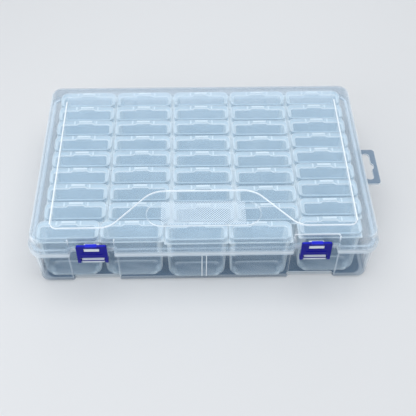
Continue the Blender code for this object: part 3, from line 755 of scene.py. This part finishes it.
def upright_rim(points, corner):
    """A painted highlight line down both front corners and a softer one down the sides of the latch pockets.
    """
    front = min(y for _, y in points)

    def value(x, y):
        if y < front + UPRIGHT_DEPTH and abs(x) > UPRIGHT_X:
            return corner
        return POCKET_LINE if front + 0.0002 < y < front + 0.0015 and abs(x) < 0.1500 else 0.0
    return value


def foot_rim(points):
    """The rounded foot gets a soft painted highlight, and a fine white highlight line inside the latch
    pockets.
    """
    front = min(y for _, y in points)
    return lambda x, y: 0.9 if front + 0.0018 < y < -0.0950 and abs(abs(x) - LATCH_X) < 0.0245 else 0.3


print("the tub's rim outline has", len(tub_outline(TUB_TOP)), "points")

# %% [markdown]
# The walls grow from the flat floor outwards: a quarter round in six steps, then the leaning wall up to a
# plain rim. Extruded from the floor's own edge, floor and walls are one shell.

# %% Tub walls
TUB_EDGE = 0.0060
FOOT_STEPS, FOOT_RIMS = 6, (1, 2, 3)
# Height and painted highlight down the front corners, for the upright levels
UPRIGHTS = [(0.0075, 0.6), (0.0300, 0.8), (TUB_TOP - 0.0008, 0.8)]
levels = [(tub_outline(0.0, TUB_EDGE + 0.0004), 0.0, 0.0)]
for step in range(FOOT_STEPS + 1):
    turn = math.radians(90.0 * step / FOOT_STEPS)
    height = TUB_EDGE * (1 - math.cos(turn))
    points = tub_outline(height, TUB_EDGE * (1 - math.sin(turn)))
    levels.append((points, height, foot_rim(points) if step in FOOT_RIMS else 0.0))
levels += [(tub_outline(height), height, upright_rim(tub_outline(height), corner))
           for height, corner in UPRIGHTS]
# The top edge gets the lid's painted highlight, strong at the sides and the back
levels.append((tub_outline(TUB_TOP), TUB_TOP, lid_edge(0.9, 0.3)))
bm = bmesh.new()
(floor_verts, _), _ = wall(bm, levels)
bm.faces.new(floor_verts)
print("tub walls:", len(bm.verts), "points")

# %% [markdown]
# The floor and the foot of the walls get the deep number, a painted shade, so the gaps between the containers
# look dark in front. The rear and end walls get some of it. Further back the floor is painted white, a
# painted light for the light scattered there, and two cuts across it set where one look passes into the
# other. The front wall gets the clear number, because one looks straight through it at the front cups.

# %% Painted shade at the foot and painted light on the floor
TUB_WALL = 0.0020
# Where the painted shade on the floor ends, where the painted light begins, and how white it is
DARK_TO, PAINTED_FLOOR_LIGHT_FROM, PAINTED_FLOOR_LIGHT = -0.0850, -0.0600, 1.0
ON_FLOOR = 1e-6
# Painted shade: where the walls keep some of it, how much, and the heights over which it fades from the floor
SHADE_X, SHADE_Y, WALL_SHADE = 0.1710, 0.1080, 0.28
SIDE_FOOT, FRONT_FOOT = 0.0140, 0.0040
CLEAR_Y, CLEAR_LOW, CLEAR_HIGH, FRONT_CLEAR = -0.0900, 0.0040, 0.0560, 0.75
for y in (DARK_TO, PAINTED_FLOOR_LIGHT_FROM):
    faces = [f for f in bm.faces if all(v.co.z < ON_FLOOR for v in f.verts)]
    around = list({e for f in faces for e in f.edges}) + list({v for f in faces for v in f.verts})
    bmesh.ops.bisect_plane(bm, geom=faces + around, plane_co=(0.0, y, 0.0), plane_no=(0.0, 1.0, 0.0))
deep = bm.verts.layers.float.new("deep")
clear = bm.verts.layers.float.new("clear")
rim = rim_layer(bm)
for vert in bm.verts:
    x, y, z = vert.co
    # Painted shade, fading up from the floor, with a share kept on the rear and end walls
    beside = abs(x) > SHADE_X or y > SHADE_Y
    vert[deep] = max(1.0 - z / (SIDE_FOOT if beside else FRONT_FOOT), WALL_SHADE if beside else 0.0)
    # Painted light: the floor further back is made white and loses its painted shade
    if z < ON_FLOOR and y > PAINTED_FLOOR_LIGHT_FROM - 1e-6:
        vert[deep], vert[rim] = 0.0, PAINTED_FLOOR_LIGHT
    vert[clear] = FRONT_CLEAR if y < CLEAR_Y and CLEAR_LOW < z < CLEAR_HIGH else 0.0
print("tub:", len(bm.verts), "points")
shell_piece("tub_moulding", bm, "base", ["tub"], TUB_WALL)

# %% [markdown]
# ## Tub fittings
# Pairs of thin ribs inside the long walls once held divider plates. In front, an open ring in each pocket
# holds a latch's pin, and at the back two lugs carry each hinge pin.

# %% Tub fittings
RIB_WIDTH, RIB_REACH, RIB_PITCH = 0.0010, 0.0005, 0.0046
RIB_LOW, RIB_HIGH = 0.0060, 0.0439
RIB_PLACES = [(-1, 0.0), (1, -0.0866), (1, 0.0), (1, 0.0866)]
LATCH_Y, LATCH_Z = -0.115469, 0.0418
CLIP_HALF, CLIP_INNER, CLIP_OUTER = 0.0112, 0.0015, 0.0027
WEB_FRONT, WEB_BACK, WEB_HALF = LATCH_Y + 0.0021, -0.1118, 0.0012
PIN_HALF, PIN_RADIUS = 0.0110, 0.0015
LUG_HALF, LUG_ROUND = 0.0015, 0.0026
LUG_FOOT, LUG_BACK = (0.1145, HINGE_Z - 0.0120), (0.1149, HINGE_Z + LUG_ROUND)


def inner_wall(height):
    return HALF_D - (TUB_TOP - height) * DRAFT - TUB_WALL


web = [(WEB_FRONT, LATCH_Z - WEB_HALF), (WEB_BACK, LATCH_Z - WEB_HALF), (WEB_BACK, LATCH_Z + WEB_HALF),
       (WEB_FRONT, LATCH_Z + WEB_HALF)]
arc = [math.radians(-35 + 12.5 * i) for i in range(11)]
nose = [(HINGE_Y + LUG_ROUND * math.cos(a), HINGE_Z + LUG_ROUND * math.sin(a)) for a in arc]
lug = [LUG_FOOT] + nose + [LUG_BACK]
bm = bmesh.new()
for side, middle in RIB_PLACES:
    for x in (middle - RIB_PITCH / 2, middle + RIB_PITCH / 2):
        outlines = [(rectangle(RIB_WIDTH / 2, RIB_REACH, 0.0002, (x, side * inner_wall(z)), 2), z, 1.0)
                    for z in (RIB_LOW, RIB_HIGH)]
        (low_verts, _), (high_verts, _) = wall(bm, outlines)
        bm.faces.new(low_verts)
        bm.faces.new(high_verts)
for side in (-1, 1):
    pin = Vector((side * LATCH_X, LATCH_Y, LATCH_Z))
    ring_clip(bm, pin, CLIP_HALF, CLIP_INNER, CLIP_OUTER, -0.75 * math.pi, 1.5 * math.pi, rim=0.85)
    plate(bm, web, pin.x - CLIP_HALF, pin.x + CLIP_HALF, 0.7)
    hinge = Vector((side * HINGE_X, HINGE_Y, HINGE_Z))
    rod(bm, hinge, PIN_HALF, PIN_RADIUS, 0.8)
    for x in (hinge.x - PIN_HALF, hinge.x + PIN_HALF):
        plate(bm, lug, x - LUG_HALF, x + LUG_HALF, 0.55)
tub_fittings = shell_piece("tub_ribs_and_clips", bm, "base", smooth=35)
print("tub fittings:", len(tub_fittings.data.polygons), "faces")

# %% [markdown]
# ## Hang tab
# The tab on the right end is flat, with a slot that widens in the middle so that the box hangs level on a
# display peg. The flat tab is made dark with painted shade, and its cut edges get painted highlights all
# round.

# %% Hang tab
TAB_TOP, TAB_MIDDLE, TAB_THICK = 0.0498, 0.0040, 0.0023
TAB_LOW = TAB_TOP - TAB_THICK
TAB_REACH, TAB_HALF, TAB_CORNER = 0.0220, 0.0267, 0.0040
# The painted highlight on the cut edges, and the share of painted shade over the tab
TAB_SOFT, TAB_RIM, TAB_SHADE = 0.0003, 0.9, 0.85
SLOT_HALF_W, SLOT_HALF_L, SLOT_SET = 0.0040, 0.0197, 0.0110
SWELL, SWELL_HALF, SWELL_SLOPE = 0.0026, 0.0046, 0.0016
wall_x = HALF_W - (TUB_TOP - TAB_TOP) * DRAFT
left, right = wall_x - 0.0004, wall_x + TAB_REACH
slot_x = right - SLOT_SET
front, back = TAB_MIDDLE - TAB_HALF, TAB_MIDDLE + TAB_HALF
tab_outline = rounded([(left, front), (right, front), (right, back), (left, back)],
                      [0.0002, TAB_CORNER, TAB_CORNER, 0.0002])
slot_sides = [(-SLOT_HALF_W, -SLOT_HALF_L), (SLOT_HALF_W, -SLOT_HALF_L), (SLOT_HALF_W, -SWELL_HALF),
              (SLOT_HALF_W + SWELL, -SWELL_HALF + SWELL_SLOPE),
              (SLOT_HALF_W + SWELL, SWELL_HALF - SWELL_SLOPE), (SLOT_HALF_W, SWELL_HALF),
              (SLOT_HALF_W, SLOT_HALF_L), (-SLOT_HALF_W, SLOT_HALF_L)]
slot_outline = rounded([(slot_x + x, TAB_MIDDLE + y) for x, y in slot_sides],
                       [0.0036, 0.0036, 0.0010, 0.0022, 0.0022, 0.0010, 0.0036, 0.0036])
bm = bmesh.new()
top_rings, low_rings = [], []
for outline, by in ((tab_outline, TAB_SOFT), (slot_outline, -TAB_SOFT)):
    inside, edge = moved_in(outline, by + math.copysign(FADE, by)), moved_in(outline, by)
    (_, high), (_, low) = wall(bm, [
        (inside, TAB_TOP, 0.0), (edge, TAB_TOP, TAB_RIM), (outline, TAB_TOP - TAB_SOFT, TAB_RIM),
        (outline, TAB_LOW + TAB_SOFT, TAB_RIM), (edge, TAB_LOW, TAB_RIM), (inside, TAB_LOW, 0.0)])
    top_rings += high
    low_rings += low
fill_between(bm, top_rings)
fill_between(bm, low_rings)
# Painted shade over the whole tab
deep = bm.verts.layers.float.new("deep")
for vert in bm.verts:
    vert[deep] = TAB_SHADE
print("tab outline:", len(tab_outline), "points, slot outline:", len(slot_outline), "points")
shell_piece("hang_tab", bm, "base")

# %% [markdown]
# ## Containers
# Each container is one moulding: a cup with its cap folded shut, joined by a thin strap at the back. The
# shape is drawn once about its own middle, and every container is a copy of it in its own place. The cup is a
# stack of outlines that shrink towards the floor in two quarter rounds.

# %% Cup
CUP_HALF, CUP_TALL, CUP_CORNER = (0.0307, 0.0115), 0.0594, 0.0062
CUP_TURN, CUP_SMALL_TURN = 0.0090, 0.0030
CUP_DRAFT = math.tan(math.radians(1.25))
# How far the rim reaches in from each end, in general and above MOUTH_FROM
END, MOUTH_END, MOUTH_FROM = 0.0008, 0.0040, 0.0360
# Shares of the painted highlight that the back of a cup keeps, at its ends and along its sides
REAR_END, REAR_SIDE = 0.3, 0.4
# Painted shade inside the cups: how strong, up to what height, and over what height it fades
CUP_SHADE, SHADE_TO, SHADE_FADE = 0.9, 0.0480, 0.0150
# Height, painted highlight at both ends, painted highlight along the sides
CUP_STEPS = [(0.0, 0.15, 0.3), (0.0003, 0.4, 0.6), (0.0010, 0.5, 1.0), (0.0016, 0.5, 0.3), (0.0024, 0.5, 0.0),
             (0.0042, 0.5, 0.0), (0.0064, 0.6, 0.0), (0.0090, 0.8, 0.0), (0.0200, 0.9, 0.0),
             (0.0350, 0.9, 0.0), (0.0380, 1.0, 0.0), (CUP_TALL - 0.0010, 1.0, 0.0), (CUP_TALL, 1.0, 0.6)]


def quarter(turn, height):
    """How far a quarter-round edge of radius `turn` draws in at a height above its foot."""
    below = max(0.0, turn - height)
    return turn - math.sqrt(turn**2 - below**2)


def cup_outline(height):
    """The cup's outline at a height: it narrows towards its floor and turns under in a wide curve."""
    lean = (CUP_TALL - height) * CUP_DRAFT
    half_w = CUP_HALF[0] - lean - quarter(CUP_TURN, height)
    half_d = CUP_HALF[1] - lean - quarter(CUP_SMALL_TURN, height)
    return rectangle(half_w, half_d, min(CUP_CORNER, half_d * 0.8), segments=4)


def cup_rim(points, height, at_end, at_side):
    """Rim for the two short ends of an outline, which one sees edge-on as a fine white line in front; partly
    a painted highlight, weaker at the back.
    """
    at_mouth = height > MOUTH_FROM
    reach = max(x for x, _ in points) - (MOUTH_END if at_mouth else END)

    def value(x, y):
        if abs(x) <= reach:
            return at_side if y < 0.0 else REAR_SIDE * at_side
        return at_end if y < 0.0 or at_mouth else REAR_END * at_end
    return value


shape = bmesh.new()
deep = shape.verts.layers.float.new("deep")
levels = [(cup_outline(height), height, cup_rim(cup_outline(height), height, at_end, at_side))
          for height, at_end, at_side in CUP_STEPS]
(cup_floor, _), _ = wall(shape, levels)
shape.faces.new(cup_floor)
# Painted shade on the back and the floor of the cup, darker towards the bottom
for vert in shape.verts:
    behind = vert.co.y > 0.0 or vert.co.z < ON_FLOOR
    vert[deep] = CUP_SHADE * max(0.0, min(1.0, (SHADE_TO - vert.co.z) / SHADE_FADE)) if behind else 0.0
print("cup:", len(shape.verts), "points")

# %% [markdown]
# The cap's front is a flat field, a little lower than the land behind it, with a tongue at the hinge. It is
# made as a field with a negative rise.

# %% Cap
CAP_HALF, CAP_CORNER = (0.0320, 0.0119), 0.0070
CAP_BASE, CAP_TALL = 0.0598, 0.0064
CAP_TOP = CAP_BASE + CAP_TALL
# Inset, height, painted highlight at the back, at the ends and in front
CAP_STEPS = [(0.0, CAP_BASE, 0.6, 0.6, 0.6), (0.0, CAP_BASE + 0.0004, 0.3, 0.7, 0.1),
             (0.0, CAP_TOP - 0.0014, 0.3, 0.7, 0.1), (0.0002, CAP_TOP - 0.0007, 0.9, 0.7, 0.35),
             (0.0006, CAP_TOP - 0.0002, 1.0, 0.7, 0.5), (0.0012, CAP_TOP, 0.8, 0.6, 0.3),
             (0.0014, CAP_TOP, 0.35, 0.5, 0.1)]
LAND = 0.0050
FIELD = [(-0.0282, -0.0106), (0.0282, -0.0106), (0.0282, LAND), (0.0096, LAND), (0.0080, 0.0070),
         (-0.0080, 0.0070), (-0.0096, LAND), (-0.0282, LAND)]
FIELD_RADII = [0.0030, 0.0030, 0.0034, 0.0012, 0.0012, 0.0012, 0.0012, 0.0034]
FIELD_SINK, FIELD_EDGE = 0.0005, 0.0003


def cap_rim(back, side, front):
    """A cap's edge gets a painted highlight, bright at the back, softer at the ends and faint at the front.
    """
    def value(x, y):
        if y > 0.0030:
            return back
        return front if y < -0.0090 else side
    return value


def cap_outline(inset):
    return rectangle(CAP_HALF[0] - inset, CAP_HALF[1] - inset, CAP_CORNER - inset, segments=5)


_, (_, land_edges) = wall(shape, [(cap_outline(inset), height, cap_rim(back, side, front))
                                  for inset, height, back, side, front in CAP_STEPS])
# The sunk field's step gets a painted highlight, bright at the back and faint in front
field_edges = raised_field(shape, rounded(FIELD, FIELD_RADII, 4), CAP_TOP, -FIELD_SINK, FIELD_EDGE,
                           cap_rim(0.95, 0.7, 0.1), around=cap_rim(0.35, 0.5, 0.1))
fill_between(shape, land_edges + field_edges)
print("one container:", len(shape.verts), "points", len(shape.faces), "faces")

# %% [markdown]
# The mouth of each cup ends in a thin lip under the cap. It nearly fills the space between neighbours, and
# from above it is painted white between the caps, a painted light in the gaps. Where the next container
# stands further off, it stays short. Each lip is a flat ring between two outlines.

# %% Lips
# The lips' rim number paints light into the gaps between the caps
LIP_LOW, LIP_HIGH, LIP_PAINTED_LIGHT = 0.0588, 0.0596, 0.85
LIP_INSIDE, LIP_CORNER = (0.0302, 0.0110), 0.0010
LIP_PART, LIP_REACH = 0.00012, 0.0013


def lip_end(name, axis, side):
    """Where a cup's lip ends at one side: near the middle of the space to the next container there."""
    row, column = (int(part[1:]) for part in name.split("_")[1:])
    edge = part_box(name)[0 if side < 0 else 1][axis]
    beside = f"container_r{row}_c{column + side}" if axis == 0 else f"container_r{row - side}_c{column}"
    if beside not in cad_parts:
        return edge
    space = side * (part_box(beside)[1 if side < 0 else 0][axis] - edge)
    return edge + side * min(space / 2 - LIP_PART, LIP_REACH)


def add_lip(bm, name, middle, base):
    (left, right), (front, back) = ([lip_end(name, axis, side) for side in (-1, 1)] for axis in (0, 1))
    outer_middle = ((left + right) / 2, (front + back) / 2)
    outer = rectangle((right - left) / 2, (back - front) / 2, LIP_CORNER, outer_middle, 4)
    inner = rectangle(*LIP_INSIDE, LIP_CORNER, middle, 4)
    low, high = base + LIP_LOW, base + LIP_HIGH
    flat_ring(bm, [(points, height, LIP_PAINTED_LIGHT)
                   for points, height in ((inner, low), (outer, low), (outer, high), (inner, high))])


print("lips reach out", LIP_REACH, "m at most")

# %% [markdown]
# On the cap's land lie the hinge strip and short bars beside it, with a strap behind them. Each is a block
# with a fine bevel. All of them are gathered in one piece and the lips in another, because they share one
# material and one body.

# %% Containers in their places
STRAP_HALF, STRAP_SET, STRAP_EDGE, STRAP_RIM = (0.0100, 0.0030), (0.0004, 0.0010), 0.0003, 0.5
# Middle of each bar in x and y, half its width and depth, rim
BARS = [(0.0, 0.0094, 0.0073, 0.0014, 0.9), (-0.0122, 0.0078, 0.0008, 0.0030, 0.75),
        (0.0122, 0.0078, 0.0008, 0.0030, 0.75), (0.0100, 0.0078, 0.0003, 0.0022, 0.5)]
BAR_SUNK, BAR_PROUD, BAR_EDGE = 0.0002, 0.0003, 0.0001
INNER_SHARE, CUP_CLEAR, CUP_WALL = 0.15, 0.85, 0.0010
lips, straps = bmesh.new(), bmesh.new()
names = sorted(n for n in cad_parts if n.startswith("container_"))
for name in names:
    low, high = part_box(name)
    middle_x, middle_y = (low.x + high.x) / 2, (low.y + high.y) / 2
    bm = shape.copy()
    deep, clear = bm.verts.layers.float["deep"], bm.verts.layers.float.new("clear")
    in_front = name.startswith("container_r9")
    # Painted shade: the front row keeps the cup's full shade and the others a small share
    for vert in bm.verts:
        vert[deep] *= 1.0 if in_front else INNER_SHARE
        vert[clear] = CUP_CLEAR if in_front and vert.co.y < 0.0 and vert.co.z < SHADE_TO else 0.0
    bmesh.ops.translate(bm, verts=bm.verts, vec=(middle_x, middle_y, low.z))
    make_piece(name + "_moulding", bm, cup_plastic, "base", [name], CUP_WALL)
    add_lip(lips, name, (middle_x, middle_y), low.z)
    hinge_y, hinge_z = middle_y + CAP_HALF[1] - STRAP_SET[0], low.z + CAP_BASE
    block(straps, (middle_x - STRAP_HALF[0], hinge_y - STRAP_SET[1], hinge_z - STRAP_HALF[1]),
          (middle_x + STRAP_HALF[0], hinge_y, hinge_z + STRAP_HALF[1]), STRAP_EDGE, STRAP_RIM)
    for x, y, half_w, half_d, rim in BARS:
        x, y, top = x + middle_x, y + middle_y, low.z + CAP_TOP
        block(straps, (x - half_w, y - half_d, top - BAR_SUNK), (x + half_w, y + half_d, top + BAR_PROUD),
              BAR_EDGE, rim)
shape.free()
make_piece("container_hinge_straps", straps, cup_plastic, "base")
# The lips, painted white as light in the gaps
make_piece("container_lips", lips, cup_plastic, "base", smooth=35)
print(len(names), "containers")

# %% [markdown]
# ## Latches
# The latches keep the measured shape. A copy is merged, its flat stretches are joined, and a small bevel
# softens the edges, because light along a rounded edge is what makes moulded plastic look real.

# %% Latches
LATCH_BEVEL = 0.0003
for side in ("left", "right"):
    name = "latch_" + side
    bm = bmesh.new()
    bm.from_mesh(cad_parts[name].data)
    bm.transform(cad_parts[name].matrix_world)
    bmesh.ops.remove_doubles(bm, verts=bm.verts, dist=1e-5)
    bmesh.ops.dissolve_limit(bm, angle_limit=math.radians(1), verts=bm.verts, edges=bm.edges)
    latch = make_piece(name + "_moulding", bm, blue_plastic, name, [name])
    soften = latch.modifiers.new("soften", "BEVEL")
    soften.width = LATCH_BEVEL
    soften.segments = 2
    soften.limit_method = "ANGLE"
    soften.angle_limit = math.radians(35)
    print(name, len(latch.data.polygons), "faces")

# %% [markdown]
# ## Floor
# Clear plastic shows what lies behind it, so the floor is plain, pale, rough and much wider than the view.

# %% Floor
bm = bmesh.new()
bmesh.ops.create_grid(bm, x_segments=1, y_segments=1, size=6.0)
mesh = bpy.data.meshes.new("floor")
bm.to_mesh(mesh)
bm.free()
floor = bpy.data.objects.new("floor", mesh)
collection.objects.link(floor)
pale = bpy.data.materials.new("floor_pale")
pale.use_nodes = True
paint = pale.node_tree.nodes["Principled BSDF"].inputs
paint["Base Color"].default_value = (0.66, 0.67, 0.68, 1.0)
paint["Roughness"].default_value = 0.7
mesh.materials.append(pale)
print("floor material:", pale.name)

# %% [markdown]
# ## Light
# Three soft lamps: a wide one above, a weaker one from the front left that models the walls, and a narrow
# one behind that runs along the edges. A pale world fills the shadows, as a bright room would.

# %% Light
def soft_lamp(name, place, target, width, height, power):
    light = bpy.data.lights.new(name, "AREA")
    light.shape = "RECTANGLE"
    light.size, light.size_y, light.energy = width, height, power
    lamp = bpy.data.objects.new(name, light)
    lamp.location = place
    lamp.rotation_euler = (Vector(target) - Vector(place)).to_track_quat("-Z", "Y").to_euler()
    collection.objects.link(lamp)


soft_lamp("above", (0.0, 0.0, 1.3), (0.0, 0.0, 0.0), 1.6, 1.2, 13.5)
soft_lamp("front_left", (-0.9, -1.1, 0.8), (0.0, 0.0, 0.03), 0.8, 0.8, 6.0)
soft_lamp("behind", (0.2, 1.2, 0.5), (0.0, 0.0, 0.05), 1.4, 0.3, 2.0)
world = bpy.data.worlds.new("studio")
world.use_nodes = True
sky = world.node_tree.nodes["Background"].inputs
sky["Color"].default_value = (0.90, 0.94, 1.0, 1.0)
sky["Strength"].default_value = 0.5
bpy.context.scene.world = world
print("lamps:", len(bpy.data.lights))

# %% [markdown]
# ## Render choices
# A ray through the box crosses dozens of thin walls, so it may pass many transparent surfaces. The Standard
# view keeps the colours as they are mixed here.

# %% Render choices
scene = bpy.context.scene
scene.view_settings.view_transform = "Standard"
scene.cycles.transparent_max_bounces = 64
scene.cycles.max_bounces = 8
scene.cycles.diffuse_bounces = 3
print("transparent bounces:", scene.cycles.transparent_max_bounces)
